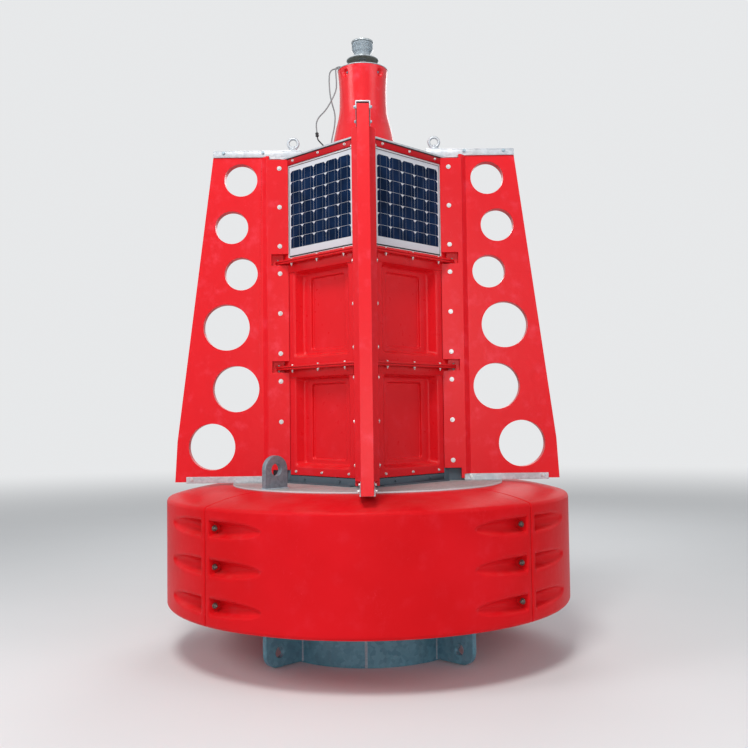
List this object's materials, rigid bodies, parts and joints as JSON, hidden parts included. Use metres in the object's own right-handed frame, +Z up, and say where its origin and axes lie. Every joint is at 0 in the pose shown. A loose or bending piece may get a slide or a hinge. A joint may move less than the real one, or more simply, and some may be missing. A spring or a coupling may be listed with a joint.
{
  "type": "navigation buoy",
  "caption": "Modular floating navigation mark: a ring of moulded float sections on a steel tail tube, a square panelled tower with pierced fins, solar panels and a lantern.",
  "frame": {"origin": "centre of the float on the floor plane under the tail tube", "axes": "+Z up along the tail tube's axis, front fin towards -Y, right fin towards +X"},
  "size_m": [2.8496, 2.8496, 4.454],
  "materials": {
    "red_float": "satin",
    "red_panel": "satin",
    "red_rail": "satin",
    "red_fin": "satin",
    "red_pedestal": "satin gloss",
    "dull_zinc": "dull galvanised",
    "deck_zinc": "weathered galvanised",
    "bright_zinc": "galvanised",
    "dark_steel": "matt",
    "solar_alloy": "anodised",
    "solar_cells": "glossy laminate",
    "lantern_alloy": "satin",
    "clear_lens": "clear",
    "white_lamp": "matt",
    "black_plastic": "matt",
    "grey_lead": "matt",
    "dark_lead": "matt"
  },
  "bodies": {
    "root": {"float_right": "red_float", "float_back": "red_float", "float_left": "red_float", "float_front": "red_float", "tail_tube": "dull_zinc", "mooring_lug_front_right": "dull_zinc", "mooring_lug_back_right": "dull_zinc", "mooring_lug_back_left": "dull_zinc", "mooring_lug_front_left": "dull_zinc", "deck_plate": "deck_zinc", "pad_eye_front_left": "deck_zinc", "pad_eye_back_right": "deck_zinc", "base_angle": "dark_steel", "day_panel_lower_front_right": "red_panel", "day_panel_lower_back_right": "red_panel", "day_panel_lower_back_left": "red_panel", "day_panel_lower_front_left": "red_panel", "day_panel_middle_front_right": "red_panel", "day_panel_middle_back_right": "red_panel", "day_panel_middle_back_left": "red_panel", "day_panel_middle_front_left": "red_panel", "rails_lower": "red_rail", "rails_upper": "red_rail", "header": "red_rail", "top_plate": "bright_zinc", "solar_frame_front_right": "solar_alloy", "solar_frame_back_right": "solar_alloy", "solar_frame_back_left": "solar_alloy", "solar_frame_front_left": "solar_alloy", "solar_laminate_front_right": "solar_cells", "solar_laminate_back_right": "solar_cells", "solar_laminate_back_left": "solar_cells", "solar_laminate_front_left": "solar_cells", "fin_right": "red_fin", "fin_back": "red_fin", "fin_left": "red_fin", "fin_front": "red_fin", "foot_channel_right": "bright_zinc", "foot_channel_back": "bright_zinc", "foot_channel_left": "bright_zinc", "foot_channel_front": "bright_zinc", "top_bar_right": "bright_zinc", "top_bar_back": "bright_zinc", "top_bar_left": "bright_zinc", "top_bar_front": "bright_zinc", "pedestal": "red_pedestal", "pedestal_rim": "bright_zinc", "lantern_base": "lantern_alloy", "lantern_lens": "clear_lens", "lantern_lamp": "white_lamp", "lantern_cap": "lantern_alloy", "lead_glands": "black_plastic", "lead_short": "grey_lead", "lead_joint": "black_plastic", "lead_tail": "dark_lead", "lead_long": "grey_lead"}
  },
  "joints": []
}
